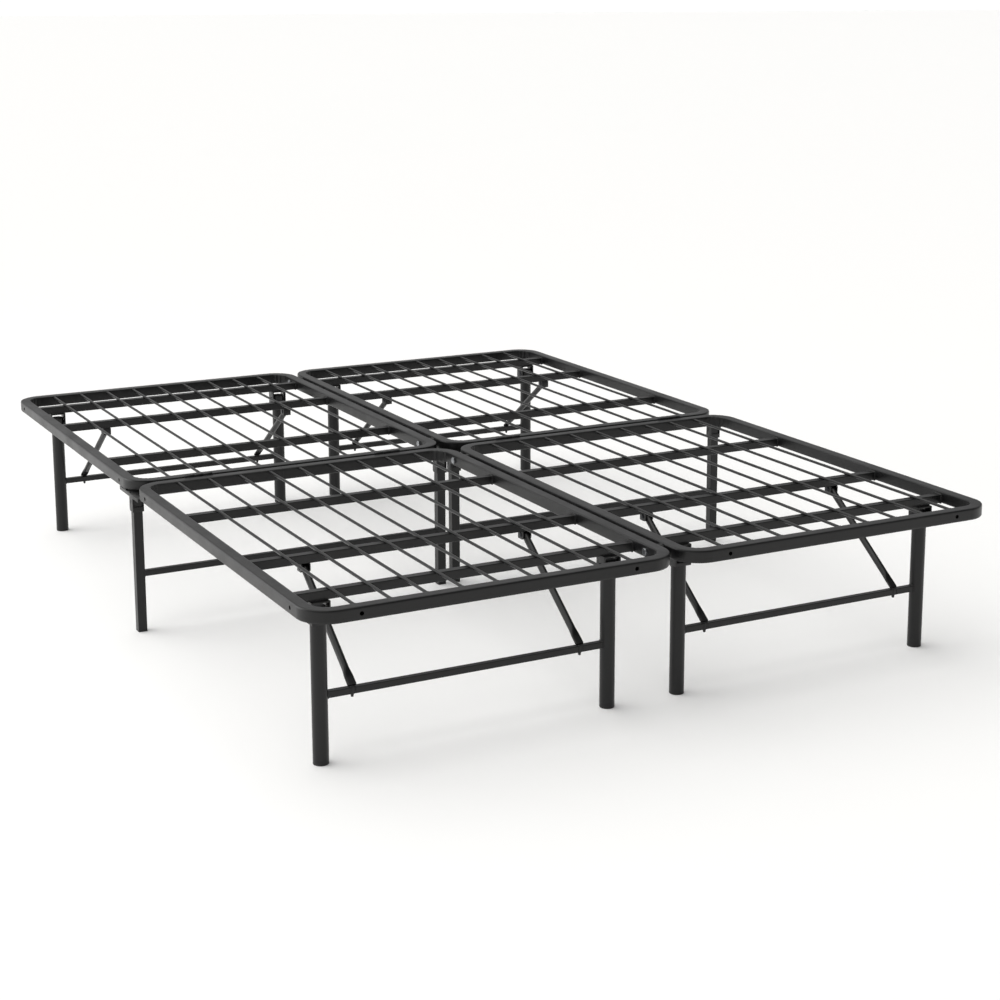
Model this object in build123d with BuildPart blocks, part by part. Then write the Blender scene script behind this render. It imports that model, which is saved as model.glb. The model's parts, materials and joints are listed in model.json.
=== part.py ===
"""Folding steel platform bed frame, queen size.

Two halves lie side by side. Each half is a foot section and a head section,
hinged together at mid length, with folding leg frames underneath.
X runs across the bed, Y from foot to head, Z up. The origin is on the floor
under the middle of the bed. All sizes are in millimetres.
"""
import os
from math import atan2, cos, degrees, hypot, radians, sin

from build123d import *

os.makedirs("parts", exist_ok=True)

# Overall sizes, unfolded
bed_width = 1511.0
bed_length = 2019.0
deck_height = 335.0  # floor to the top of the rims
half_gap = 12.0  # between the two halves
fold_gap = 10.0  # between foot and head sections

# Rims: square tube bent to a closed loop
rail = 25.0
rail_wall = 1.2
rail_edge = 2.0
rim_corner = 60.0
hole_radius = 4.1
end_hole_inset = 98.0  # headboard and footboard holes, from a section's sides
join_hole_inset = 88.0  # joining holes, from a section's ends

# Deck surface
cross_tube = 18.0
cross_wall = 1.2
cross_edge = 1.5
mid_tube_inset = 270.0  # from the fold to the last cross tube
wire_radius = 3.0
wire_count = 9
wire_drop = 1.0  # deck wires below the top of the rims

# End leg frames
leg_radius = 15.0
leg_wall = 1.2
leg_inset = 74.5  # leg centre from the side of its half
leg_lines = {"foot": 145.0, "head": 120.0}  # leg pivots from each end of the bed
leg_head = 9.0  # tube above its pivot
leg_roof_gap = 1.3  # over the turning top of a leg
cap_flange = 4.0
cap_plug = 20.0
cap_edge = 1.5
head_cap_flange = 3.0
head_cap_plug = 3.5
plug_clearance = 0.1

# Cross bars between the legs of a frame
bar = 13.0
bar_wall = 1.2
bar_edge = 1.2
bar_height = 130.0  # floor to its centre
cope_clearance = 0.05

# Braces
brace_radius = 7.0
brace_wall = 1.2
brace_inset = 63.0  # from its leg, towards the middle of the half
brace_run = 222.0  # from the leg pivots to the brace pivots
brace_top_clearance = 0.7  # under the cross tube
fold_clearance = 1.8  # between a folded brace and the folded cross bar below it
brace_flat_half_width = 9.0
brace_flat_half_thickness = 2.2
brace_flat_length = 16.0
brace_neck_length = 24.0  # round tube changing to flat
tip_width = 9.0  # block at the brace's end that drops into the bar
tip_clearance = 0.5
tip_over_bar = 2.5  # centre of the flat end above the top of the bar
tip_reach = 2.0  # flat end beyond the centre of the bar
notch_wall = 1.3  # bar left standing behind a tip
nub_width = 6.0  # below the bar
nub_length = 7.0
nub_taper = 8.0

# Middle leg frames, one under the fold of each half
mid_leg = 20.0
mid_leg_wall = 1.2
mid_leg_edge = 1.5
mid_leg_line = 10.0  # from the middle of the bed towards the head
mid_leg_head = 6.0
mid_roof_gap = 2.2
mid_cap_flange = 3.0
mid_head_cap_flange = 2.0
mid_plug_gap = 0.8  # between the upper plug and the pivot pin

# Brackets, pins and hinges
plate = 2.5
thin_plate = 2.0
leg_ear_gap = 0.6
mid_ear_gap = 0.5
brace_ear_gap = 0.5
stop_gap = 0.4
leg_ear_depth = 20.0  # below the pivot
leg_ear_back = 14.0
leg_stop_height = 7.0
mid_ear_depth = 22.0
mid_ear_back = 11.0
mid_stop_height = 11.0
mid_plate_back = 41.0  # reach under the foot section, from the middle of the bed
mid_plate_front = 90.0  # reach under the head section
mid_plate_lip = 8.0
brace_ear_half = 11.0
brace_ear_depth = 9.0
leg_pin_radius = 4.0
mid_pin_radius = 3.0
brace_pin_radius = 3.0
pin_clearance = 0.08
pin_head = 2.0
pin_head_ratio = 1.8
hinge_inset = 150.0  # hinge centre from the side of its half
hinge_length = 60.0
hinge_leaf_drop = 20.0
hinge_leaf = 2.0
barrel_radius = 4.2
barrel_clearance = 1.0  # from the leaf of the other section
hinge_pin_radius = 2.5
hinge_pin_head = 1.5
knuckle_share = 0.33  # of the hinge's length, for the head section's knuckle
knuckle_gap = 0.4

# Bolts that join the halves
bolt_radius = 4.0
bolt_head_radius = 7.5
bolt_head = 4.5
nut_across = 13.0
nut_height = 6.5
bolt_end = 2.0  # beyond the nut
spacer_radius = 11.0

# Derived sizes
half_width = (bed_width - half_gap) / 2
section_length = (bed_length - fold_gap) / 2
half_centre = (half_gap + half_width) / 2
section_centre = (fold_gap + section_length) / 2
rail_bottom = deck_height - rail
rail_middle = deck_height - rail / 2
wire_height = deck_height - wire_drop - wire_radius
cross_top = wire_height - wire_radius
cross_bottom = cross_top - cross_tube
brace_pivot = cross_bottom - brace_top_clearance - brace_radius
leg_sweep = hypot(leg_radius, leg_head + head_cap_flange)
leg_pivot = min(cross_bottom - plate - leg_roof_gap - leg_sweep,
                brace_pivot - brace_radius - fold_clearance - bar / 2)
mid_sweep = hypot(mid_leg / 2, mid_leg_head + mid_head_cap_flange)
mid_pivot = rail_bottom - thin_plate - mid_roof_gap - mid_sweep
mid_leg_inset = thin_plate + mid_ear_gap + mid_leg / 2
ear_spread = leg_radius + leg_ear_gap
mid_spread = mid_leg / 2 + mid_ear_gap
brace_spread = brace_radius + brace_ear_gap

rows = {"foot": -1, "head": 1}
sides = {"left": -1, "right": 1}


def leg_line_y(row):
    """Y of the end leg pivots of a row."""
    return rows[row] * (bed_length / 2 - leg_lines[row])


def both_legs(side, inset):
    """X of two things at the same inset from both sides of a half."""
    reach = half_width / 2 - inset
    return [sides[side] * half_centre - reach, sides[side] * half_centre + reach]


def across(x, y, z):
    """A workplane whose normal runs across the bed, with Y to its right and Z up."""
    return Plane(origin=(x, y, z), x_dir=(0, 1, 0), z_dir=(1, 0, 0))


def along(x, y, z):
    """A workplane whose normal runs along the bed, with X to its right and Z down."""
    return Plane(origin=(x, y, z), x_dir=(1, 0, 0), z_dir=(0, 1, 0))


def save(piece, name):
    """Label a finished piece and write it to its own file."""
    piece.label = name
    export_step(piece, f"parts/{name}.step")


# Rims: rounded rectangles of square tube, drilled for bolts
for row, end in rows.items():
    for side, hand in sides.items():
        centre = (hand * half_centre, end * section_centre)
        with BuildPart() as rim:
            with BuildSketch(Plane.XY.offset(rail_bottom)):
                with Locations(centre):
                    RectangleRounded(half_width, section_length, rim_corner)
                    RectangleRounded(half_width - 2 * rail, section_length - 2 * rail,
                                     rim_corner - rail, mode=Mode.SUBTRACT)
            extrude(amount=rail)
            rim_faces = rim.faces().filter_by(Axis.Z).sort_by(Axis.Z)
            fillet(rim_faces[0].edges() + rim_faces[-1].edges(), rail_edge)
            with BuildSketch(Plane.XY.offset(rail_bottom + rail_wall)):
                with Locations(centre):
                    RectangleRounded(half_width - 2 * rail_wall, section_length - 2 * rail_wall,
                                     rim_corner - rail_wall)
                    RectangleRounded(half_width - 2 * (rail - rail_wall),
                                     section_length - 2 * (rail - rail_wall),
                                     rim_corner - rail + rail_wall, mode=Mode.SUBTRACT)
            extrude(amount=rail - 2 * rail_wall, mode=Mode.SUBTRACT)
            # Headboard or footboard holes, through the outer end rail
            end_y = end * (bed_length / 2 - rail / 2)
            for hole_x in both_legs(side, end_hole_inset):
                with Locations((hole_x, end_y, rail_middle)):
                    Cylinder(hole_radius, 2 * rail, rotation=(90, 0, 0), mode=Mode.SUBTRACT)
            # Joining holes, through both side rails
            reach = section_length / 2 - join_hole_inset
            for hole_x in both_legs(side, rail / 2):
                for hole_y in (centre[1] - reach, centre[1] + reach):
                    with Locations((hole_x, hole_y, rail_middle)):
                        Cylinder(hole_radius, 2 * rail, rotation=(0, 90, 0), mode=Mode.SUBTRACT)
        save(rim.part, f"{row}_{side}_rim")

# Cross tubes under the deck wires: at the leg pivots, at the brace pivots and near the fold
for row, end in rows.items():
    leg_y = leg_line_y(row)
    tube_lines = (leg_y, leg_y - end * brace_run, end * (fold_gap / 2 + mid_tube_inset))
    for side, hand in sides.items():
        tube_length = half_width - 2 * rail
        with BuildPart() as cross_tubes:
            for tube_y in tube_lines:
                tube_plane = across(hand * half_centre - tube_length / 2, tube_y,
                                    cross_top - cross_tube / 2)
                with BuildSketch(tube_plane):
                    RectangleRounded(cross_tube, cross_tube, cross_edge)
                    Rectangle(cross_tube - 2 * cross_wall, cross_tube - 2 * cross_wall,
                              mode=Mode.SUBTRACT)
                extrude(amount=tube_length)
        save(cross_tubes.part, f"{row}_{side}_cross_tubes")

# Deck wires, lengthwise, welded on the cross tubes
wire_pitch = (half_width - 2 * rail) / (wire_count + 1)
for row, end in rows.items():
    for side, hand in sides.items():
        wire_length = section_length - 2 * rail
        with BuildPart() as wires:
            with BuildSketch(along(hand * half_centre, end * section_centre - wire_length / 2,
                                   wire_height)):
                with GridLocations(wire_pitch, 1, wire_count, 1):
                    Circle(wire_radius)
            extrude(amount=wire_length)
        save(wires.part, f"{row}_{side}_deck_wires")

# Leg brackets: two ears beside each leg, a roof plate and a stop strip on the outward side
for row, end in rows.items():
    leg_y = leg_line_y(row)
    stop_y = leg_radius + stop_gap
    ear_length = stop_y + plate + leg_ear_back
    ear_centre = leg_y + end * (stop_y + plate - leg_ear_back) / 2
    ear_height = cross_bottom - leg_pivot + leg_ear_depth
    with BuildPart() as leg_brackets:
        for side in sides:
            for leg_x in both_legs(side, leg_inset):
                for ear_x in (leg_x - ear_spread - plate, leg_x + ear_spread):
                    with BuildSketch(across(ear_x, ear_centre, cross_bottom - ear_height / 2)):
                        Rectangle(ear_length, ear_height)
                    extrude(amount=plate)
                with Locations((leg_x, ear_centre, cross_bottom - plate / 2)):
                    Box(2 * ear_spread, ear_length, plate)
                stop_z = leg_pivot - leg_ear_depth + leg_stop_height / 2
                with Locations((leg_x, leg_y + end * (stop_y + plate / 2), stop_z)):
                    Box(2 * ear_spread, plate, leg_stop_height)
                with Locations((leg_x, leg_y, leg_pivot)):
                    Cylinder(leg_pin_radius + pin_clearance, 3 * ear_spread,
                             rotation=(0, 90, 0), mode=Mode.SUBTRACT)
        ear_corners = leg_brackets.edges().filter_by(Axis.X).group_by(Axis.Z)[0]
        fillet(ear_corners.group_by(Axis.Y)[0 if end > 0 else -1], leg_ear_back / 2)
    save(leg_brackets.part, f"{row}_leg_brackets")

# Leg pivot pins: rivets through ears and leg
for row in rows:
    with BuildPart() as leg_pins:
        for side in sides:
            for leg_x in both_legs(side, leg_inset):
                grip = ear_spread + plate
                with BuildSketch(across(leg_x - grip - pin_head, leg_line_y(row), leg_pivot)):
                    Circle(leg_pin_radius)
                extrude(amount=2 * (grip + pin_head))
                for head_x in (leg_x - grip - pin_head, leg_x + grip):
                    with BuildSketch(across(head_x, leg_line_y(row), leg_pivot)):
                        Circle(leg_pin_radius * pin_head_ratio)
                    extrude(amount=pin_head)
    save(leg_pins.part, f"{row}_leg_pins")

# End leg frames: round legs, their end caps and the cross bar between them
leg_bore = leg_radius - leg_wall
for row, end in rows.items():
    leg_y = leg_line_y(row)
    for side, hand in sides.items():
        leg_xs = both_legs(side, leg_inset)
        with BuildPart() as legs:
            with BuildSketch(Plane.XY.offset(cap_flange)):
                with Locations(*[(leg_x, leg_y) for leg_x in leg_xs]):
                    Circle(leg_radius)
                    Circle(leg_bore, mode=Mode.SUBTRACT)
            extrude(amount=leg_pivot + leg_head - cap_flange)
            for leg_x in leg_xs:
                with Locations((leg_x, leg_y, leg_pivot)):
                    Cylinder(leg_pin_radius + pin_clearance, 3 * leg_radius,
                             rotation=(0, 90, 0), mode=Mode.SUBTRACT)
        save(legs.part, f"{row}_{side}_legs")

        with BuildPart() as leg_caps:
            with BuildSketch():
                with Locations(*[(leg_x, leg_y) for leg_x in leg_xs]):
                    Circle(leg_radius)
            extrude(amount=cap_flange)
            fillet(leg_caps.faces().group_by(Axis.Z)[0].edges(), cap_edge)
            with BuildSketch(Plane.XY.offset(cap_flange)):
                with Locations(*[(leg_x, leg_y) for leg_x in leg_xs]):
                    Circle(leg_bore - plug_clearance)
            extrude(amount=cap_plug)
            with BuildSketch(Plane.XY.offset(leg_pivot + leg_head)):
                with Locations(*[(leg_x, leg_y) for leg_x in leg_xs]):
                    Circle(leg_radius)
            extrude(amount=head_cap_flange)
            fillet(leg_caps.faces().group_by(Axis.Z)[-1].edges(), cap_edge)
            with BuildSketch(Plane.XY.offset(leg_pivot + leg_head - head_cap_plug)):
                with Locations(*[(leg_x, leg_y) for leg_x in leg_xs]):
                    Circle(leg_bore - plug_clearance)
            extrude(amount=head_cap_plug)
        save(leg_caps.part, f"{row}_{side}_leg_caps")

        with BuildPart() as cross_bar:
            with BuildSketch(across(leg_xs[0], leg_y, bar_height)):
                RectangleRounded(bar, bar, bar_edge)
                Rectangle(bar - 2 * bar_wall, bar - 2 * bar_wall, mode=Mode.SUBTRACT)
            extrude(amount=leg_xs[1] - leg_xs[0])
            # Ends coped to the legs
            with Locations(*[(leg_x, leg_y, bar_height) for leg_x in leg_xs]):
                Cylinder(leg_radius + cope_clearance, 2 * bar, mode=Mode.SUBTRACT)
            # Notches for the brace tips, open on the outward side
            notch_depth = bar - notch_wall
            notch_y = leg_y + end * (bar - notch_depth) / 2
            for brace_x in (leg_xs[0] + brace_inset, leg_xs[1] - brace_inset):
                with Locations((brace_x, notch_y, bar_height)):
                    Box(tip_width + 2 * tip_clearance, notch_depth, 2 * bar, mode=Mode.SUBTRACT)
        save(cross_bar.part, f"{row}_{side}_cross_bar")

# Braces: tube from a pivot under the deck to a flattened end, with a block that drops into the
# notch of the bar and completes its outline, and a nub that shows below the bar
bar_top = bar_height + bar / 2
end_z = bar_top + tip_over_bar
brace_rise = brace_pivot - end_z
brace_reach = brace_run + tip_reach
brace_length = hypot(brace_rise, brace_reach)
brace_angle = degrees(atan2(brace_rise, brace_reach))
round_length = brace_length - brace_flat_length - brace_neck_length
tip_depth = bar - notch_wall - tip_clearance
for row, end in rows.items():
    leg_y = leg_line_y(row)
    pivot_y = leg_y - end * brace_run
    down = (0, end * cos(radians(brace_angle)), -sin(radians(brace_angle)))
    for side, hand in sides.items():
        leg_xs = both_legs(side, leg_inset)
        brace_xs = (leg_xs[0] + brace_inset, leg_xs[1] - brace_inset)
        for place, brace_x in zip(("outer", "inner"), brace_xs if hand < 0 else brace_xs[::-1]):
            def station(distance):
                """A workplane across the brace, this far down from its pivot."""
                centre = (brace_x, pivot_y + down[1] * distance, brace_pivot + down[2] * distance)
                return Plane(origin=centre, x_dir=(1, 0, 0), z_dir=down)

            with BuildPart() as brace:
                with Locations((brace_x, pivot_y, brace_pivot)):
                    Sphere(brace_radius)
                with BuildSketch(station(0)):
                    Circle(brace_radius)
                extrude(amount=round_length)
                with BuildSketch(station(round_length)):
                    Circle(brace_radius)
                with BuildSketch(station(round_length + brace_neck_length)):
                    Ellipse(brace_flat_half_width, brace_flat_half_thickness)
                loft()
                with BuildSketch(station(round_length + brace_neck_length)):
                    Ellipse(brace_flat_half_width, brace_flat_half_thickness)
                extrude(amount=brace_flat_length)
                tip_y = leg_y + end * (bar - tip_depth) / 2
                tip_height = bar + tip_over_bar
                with Locations((brace_x, tip_y, end_z - tip_height / 2)):
                    Box(tip_width, tip_depth, tip_height)
                with BuildSketch(Plane.XY.offset(bar_height - bar / 2)):
                    with Locations((brace_x, tip_y)):
                        Rectangle(nub_width, tip_depth / 2)
                extrude(amount=-nub_length, taper=nub_taper)
                with BuildSketch(station(0)):
                    Circle(brace_radius - brace_wall)
                extrude(amount=round_length - brace_wall, mode=Mode.SUBTRACT)
                with Locations((brace_x, pivot_y, brace_pivot)):
                    Cylinder(brace_pin_radius + pin_clearance, 3 * brace_radius,
                             rotation=(0, 90, 0), mode=Mode.SUBTRACT)
            save(brace.part, f"{row}_{side}_{place}_brace")

# Brace brackets: two ears and a web on the inward side
for row, end in rows.items():
    pivot_y = leg_line_y(row) - end * brace_run
    ear_height = cross_bottom - brace_pivot + brace_ear_depth
    with BuildPart() as brace_brackets:
        for side in sides:
            leg_xs = both_legs(side, leg_inset)
            for brace_x in (leg_xs[0] + brace_inset, leg_xs[1] - brace_inset):
                for ear_x in (brace_x - brace_spread - thin_plate, brace_x + brace_spread):
                    with BuildSketch(across(ear_x, pivot_y, cross_bottom - ear_height / 2)):
                        Rectangle(2 * brace_ear_half, ear_height)
                    extrude(amount=thin_plate)
                web_y = pivot_y - end * (brace_ear_half - thin_plate / 2)
                with Locations((brace_x, web_y, cross_bottom - ear_height / 2)):
                    Box(2 * brace_spread, thin_plate, ear_height)
                with Locations((brace_x, pivot_y, brace_pivot)):
                    Cylinder(brace_pin_radius + pin_clearance, 4 * brace_spread,
                             rotation=(0, 90, 0), mode=Mode.SUBTRACT)
        ear_corners = brace_brackets.edges().filter_by(Axis.X).group_by(Axis.Z)[0]
        fillet(ear_corners.group_by(Axis.Y)[-1 if end > 0 else 0], brace_ear_half / 2)
    save(brace_brackets.part, f"{row}_brace_brackets")

# Brace pivot pins
for row, end in rows.items():
    pivot_y = leg_line_y(row) - end * brace_run
    grip = brace_spread + thin_plate
    with BuildPart() as brace_pins:
        for side in sides:
            leg_xs = both_legs(side, leg_inset)
            for brace_x in (leg_xs[0] + brace_inset, leg_xs[1] - brace_inset):
                with BuildSketch(across(brace_x - grip - pin_head, pivot_y, brace_pivot)):
                    Circle(brace_pin_radius)
                extrude(amount=2 * (grip + pin_head))
                for head_x in (brace_x - grip - pin_head, brace_x + grip):
                    with BuildSketch(across(head_x, pivot_y, brace_pivot)):
                        Circle(brace_pin_radius * pin_head_ratio)
                    extrude(amount=pin_head)
    save(brace_pins.part, f"{row}_brace_pins")

# Middle leg brackets: channels under the head section that reach under the foot section.
# They carry the middle legs, and the foot section rests on their reach when the bed is flat.
mid_stop_back = mid_leg_line - mid_leg / 2 - stop_gap - thin_plate
mid_ear_front = mid_leg_line + mid_ear_back
mid_ear_height = rail_bottom - mid_pivot + mid_ear_depth
with BuildPart() as mid_brackets:
    for side in sides:
        for leg_x in both_legs(side, mid_leg_inset):
            for cheek_x in (leg_x - mid_spread - thin_plate, leg_x + mid_spread):
                with BuildSketch(across(cheek_x, (mid_plate_front - mid_plate_back) / 2,
                                        rail_bottom - mid_plate_lip / 2)):
                    Rectangle(mid_plate_front + mid_plate_back, mid_plate_lip)
                extrude(amount=thin_plate)
                with BuildSketch(across(cheek_x, (mid_ear_front + mid_stop_back) / 2,
                                        rail_bottom - mid_ear_height / 2)):
                    Rectangle(mid_ear_front - mid_stop_back, mid_ear_height)
                extrude(amount=thin_plate)
            with Locations((leg_x, (mid_plate_front - mid_plate_back) / 2,
                            rail_bottom - thin_plate / 2)):
                Box(2 * mid_spread, mid_plate_front + mid_plate_back, thin_plate)
            with Locations((leg_x, mid_stop_back + thin_plate / 2,
                            mid_pivot - mid_ear_depth + mid_stop_height / 2)):
                Box(2 * mid_spread, thin_plate, mid_stop_height)
            with Locations((leg_x, mid_leg_line, mid_pivot)):
                Cylinder(mid_pin_radius + pin_clearance, 4 * mid_spread,
                         rotation=(0, 90, 0), mode=Mode.SUBTRACT)
            # Relief under the foot section
            relief_back = mid_plate_back + fold_gap / 2
            with Locations((leg_x, fold_gap / 2 - relief_back / 2, rail_bottom)):
                Box(2 * mid_spread + 2 * thin_plate, relief_back, 2 * stop_gap,
                    mode=Mode.SUBTRACT)
    ear_corners = mid_brackets.edges().filter_by(Axis.X).group_by(Axis.Z)[0]
    fillet(ear_corners.group_by(Axis.Y)[-1], mid_ear_back / 2)
save(mid_brackets.part, "mid_leg_brackets")

with BuildPart() as mid_pins:
    for side in sides:
        for leg_x in both_legs(side, mid_leg_inset):
            grip = mid_spread + thin_plate
            with BuildSketch(across(leg_x - grip, mid_leg_line, mid_pivot)):
                Circle(mid_pin_radius)
            extrude(amount=2 * grip)
save(mid_pins.part, "mid_leg_pins")

# Middle leg frames: square legs, their end caps and the cross bar
mid_bore = mid_leg - 2 * mid_leg_wall
for side in sides:
    leg_xs = both_legs(side, mid_leg_inset)
    leg_spots = [(leg_x, mid_leg_line) for leg_x in leg_xs]
    with BuildPart() as legs:
        with BuildSketch(Plane.XY.offset(mid_cap_flange)):
            with Locations(*leg_spots):
                RectangleRounded(mid_leg, mid_leg, mid_leg_edge)
                Rectangle(mid_bore, mid_bore, mode=Mode.SUBTRACT)
        extrude(amount=mid_pivot + mid_leg_head - mid_cap_flange)
        for leg_x in leg_xs:
            with Locations((leg_x, mid_leg_line, mid_pivot)):
                Cylinder(mid_pin_radius + pin_clearance, 2 * mid_leg,
                         rotation=(0, 90, 0), mode=Mode.SUBTRACT)
    save(legs.part, f"mid_{side}_legs")

    with BuildPart() as leg_caps:
        for low, height in ((0, mid_cap_flange),
                            (mid_pivot + mid_leg_head, mid_head_cap_flange)):
            with BuildSketch(Plane.XY.offset(low)):
                with Locations(*leg_spots):
                    RectangleRounded(mid_leg, mid_leg, mid_leg_edge)
            extrude(amount=height)
        plug = mid_bore - 2 * plug_clearance
        head_plug = mid_leg_head - mid_pin_radius - mid_plug_gap
        for low, height in ((mid_cap_flange, cap_plug),
                            (mid_pivot + mid_leg_head - head_plug, head_plug)):
            with BuildSketch(Plane.XY.offset(low)):
                with Locations(*leg_spots):
                    Rectangle(plug, plug)
            extrude(amount=height)
    save(leg_caps.part, f"mid_{side}_leg_caps")

    with BuildPart() as cross_bar:
        with BuildSketch(across(leg_xs[0] + mid_leg / 2, mid_leg_line, bar_height)):
            RectangleRounded(bar, bar, bar_edge)
            Rectangle(bar - 2 * bar_wall, bar - 2 * bar_wall, mode=Mode.SUBTRACT)
        extrude(amount=leg_xs[1] - leg_xs[0] - mid_leg)
    save(cross_bar.part, f"mid_{side}_cross_bar")

# Fold hinges on the facing rails, with the barrel centred on the top of the deck
knuckle_half = hinge_length * knuckle_share / 2
leaf_top = -barrel_radius - barrel_clearance
hinge_spots = [hinge_x for side in sides for hinge_x in both_legs(side, hinge_inset)]
knuckles = {
    "foot": ((-hinge_length / 2, -knuckle_half - knuckle_gap),
             (knuckle_half + knuckle_gap, hinge_length / 2)),
    "head": ((-knuckle_half, knuckle_half),),
}
for row, end in rows.items():
    with BuildPart() as hinge_leaves:
        for hinge_x in hinge_spots:
            leaf_y = end * (fold_gap / 2 - hinge_leaf / 2)
            leaf_height = hinge_leaf_drop + leaf_top
            with Locations((hinge_x, leaf_y, deck_height + leaf_top - leaf_height / 2)):
                Box(hinge_length, hinge_leaf, leaf_height)
            for start, stop in knuckles[row]:
                middle = hinge_x + (start + stop) / 2
                with Locations((middle, leaf_y, deck_height + leaf_top / 2)):
                    Box(stop - start, hinge_leaf, -leaf_top)
                with Locations((middle, 0, deck_height)):
                    Cylinder(barrel_radius, stop - start, rotation=(0, 90, 0))
            with Locations((hinge_x, 0, deck_height)):
                Cylinder(hinge_pin_radius + pin_clearance, 2 * hinge_length,
                         rotation=(0, 90, 0), mode=Mode.SUBTRACT)
    save(hinge_leaves.part, f"{row}_hinge_leaves")

with BuildPart() as hinge_pins:
    for hinge_x in hinge_spots:
        pin_half = hinge_length / 2 + hinge_pin_head
        with BuildSketch(across(hinge_x - pin_half, 0, deck_height)):
            Circle(hinge_pin_radius)
        extrude(amount=2 * pin_half)
        for head_x in (hinge_x - pin_half, hinge_x + hinge_length / 2):
            with BuildSketch(across(head_x, 0, deck_height)):
                Circle(barrel_radius)
            extrude(amount=hinge_pin_head)
save(hinge_pins.part, "hinge_pins")

# Bolts, spacers and nuts that join the two halves through their facing side rails
bolt_grip = half_gap / 2 + rail
for row, end in rows.items():
    reach = section_length / 2 - join_hole_inset
    bolt_lines = [end * section_centre - reach, end * section_centre + reach]
    with BuildPart() as joining_bolts:
        for bolt_y in bolt_lines:
            with BuildSketch(across(-bolt_grip - bolt_head, bolt_y, rail_middle)):
                Circle(bolt_head_radius)
            extrude(amount=bolt_head)
            with BuildSketch(across(-bolt_grip, bolt_y, rail_middle)):
                Circle(bolt_radius)
            extrude(amount=2 * bolt_grip + nut_height + bolt_end)
    save(joining_bolts.part, f"{row}_joining_bolts")

    with BuildPart() as joining_nuts:
        for bolt_y in bolt_lines:
            with BuildSketch(across(bolt_grip, bolt_y, rail_middle)):
                RegularPolygon(nut_across / 2, 6, major_radius=False)
                Circle(bolt_radius + pin_clearance, mode=Mode.SUBTRACT)
            extrude(amount=nut_height)
    save(joining_nuts.part, f"{row}_joining_nuts")

    with BuildPart() as spacers:
        for bolt_y in bolt_lines:
            with BuildSketch(across(-half_gap / 2, bolt_y, rail_middle)):
                Circle(spacer_radius)
                Circle(bolt_radius + pin_clearance, mode=Mode.SUBTRACT)
            extrude(amount=half_gap)
    save(spacers.part, f"{row}_spacers")
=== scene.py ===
import json
import math

import bmesh
import bpy
import numpy as np
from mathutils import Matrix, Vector

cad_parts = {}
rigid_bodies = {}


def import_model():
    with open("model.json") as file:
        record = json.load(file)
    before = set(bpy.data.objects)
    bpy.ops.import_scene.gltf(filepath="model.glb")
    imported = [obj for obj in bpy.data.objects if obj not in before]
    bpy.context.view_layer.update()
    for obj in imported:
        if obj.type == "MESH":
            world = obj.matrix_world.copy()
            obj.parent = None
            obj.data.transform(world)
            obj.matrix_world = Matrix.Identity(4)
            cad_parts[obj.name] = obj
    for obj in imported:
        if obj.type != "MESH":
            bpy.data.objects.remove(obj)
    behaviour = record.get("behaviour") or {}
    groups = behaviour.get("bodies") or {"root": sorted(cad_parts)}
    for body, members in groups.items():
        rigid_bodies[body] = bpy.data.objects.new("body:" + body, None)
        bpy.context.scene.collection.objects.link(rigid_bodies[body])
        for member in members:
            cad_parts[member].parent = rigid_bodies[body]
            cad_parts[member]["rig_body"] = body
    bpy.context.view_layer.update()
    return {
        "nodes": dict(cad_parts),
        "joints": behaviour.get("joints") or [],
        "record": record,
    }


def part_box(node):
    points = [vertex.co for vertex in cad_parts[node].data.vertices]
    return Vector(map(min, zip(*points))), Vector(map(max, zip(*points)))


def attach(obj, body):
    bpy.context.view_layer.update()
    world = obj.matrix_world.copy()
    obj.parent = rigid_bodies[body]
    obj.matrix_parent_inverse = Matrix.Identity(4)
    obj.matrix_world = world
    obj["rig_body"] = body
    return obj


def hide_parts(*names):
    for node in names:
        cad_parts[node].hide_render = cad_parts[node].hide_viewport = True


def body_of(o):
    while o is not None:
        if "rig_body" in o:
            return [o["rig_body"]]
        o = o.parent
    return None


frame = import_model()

mm = 0.001
turn = 2 * math.pi
rows = {"foot": -1, "head": 1}
sides = {"left": -1, "right": 1}
places = ("outer", "inner")
jointPlace = {joint["name"]: np.array(joint.get("pos_m", (0, 0, 0))) for joint in frame["joints"]}
print("frame loaded")


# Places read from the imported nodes

def bodyOf(node):
    return body_of(frame["nodes"][node])[0]


def pieceName(node):
    first, *rest = node.split("_")
    return first + "".join(word.capitalize() for word in rest)


def solids(node):
    # Boxes of the separate solids of a node: corners joined by triangles end with the same label
    mesh = frame["nodes"][node].data
    points, corners = np.empty(len(mesh.vertices) * 3), np.empty(len(mesh.loops), np.int32)
    mesh.vertices.foreach_get("co", points)
    mesh.loops.foreach_get("vertex_index", corners)
    spots, same = np.unique(np.round(points.reshape(-1, 3), 6), axis=0, return_inverse=True)
    triangles = same.ravel()[corners].reshape(-1, 3)
    label, older = np.arange(len(spots)), None
    while older is None or (label != older).any():
        older = label.copy()
        np.minimum.at(label, triangles.ravel(), np.repeat(label[triangles].min(axis=1), 3))
        label = label[label]
    return [(spots[label == one].min(axis=0), spots[label == one].max(axis=0))
            for one in np.unique(label)]


# Mesh building

def tidyMesh(mesh, sharpAngle):
    # Poles and seams are merged, then the faces are turned outwards
    work = bmesh.new()
    work.from_mesh(mesh)
    bmesh.ops.remove_doubles(work, verts=work.verts, dist=2e-6)
    bmesh.ops.dissolve_degenerate(work, edges=work.edges, dist=1e-6)
    bmesh.ops.recalc_face_normals(work, faces=work.faces)
    work.to_mesh(mesh)
    work.free()
    mesh.shade_smooth()
    mesh.set_sharp_from_angle(angle=math.radians(sharpAngle))


creaseAngle = 38  # degrees; edges that turn by more are shaded sharp


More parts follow.
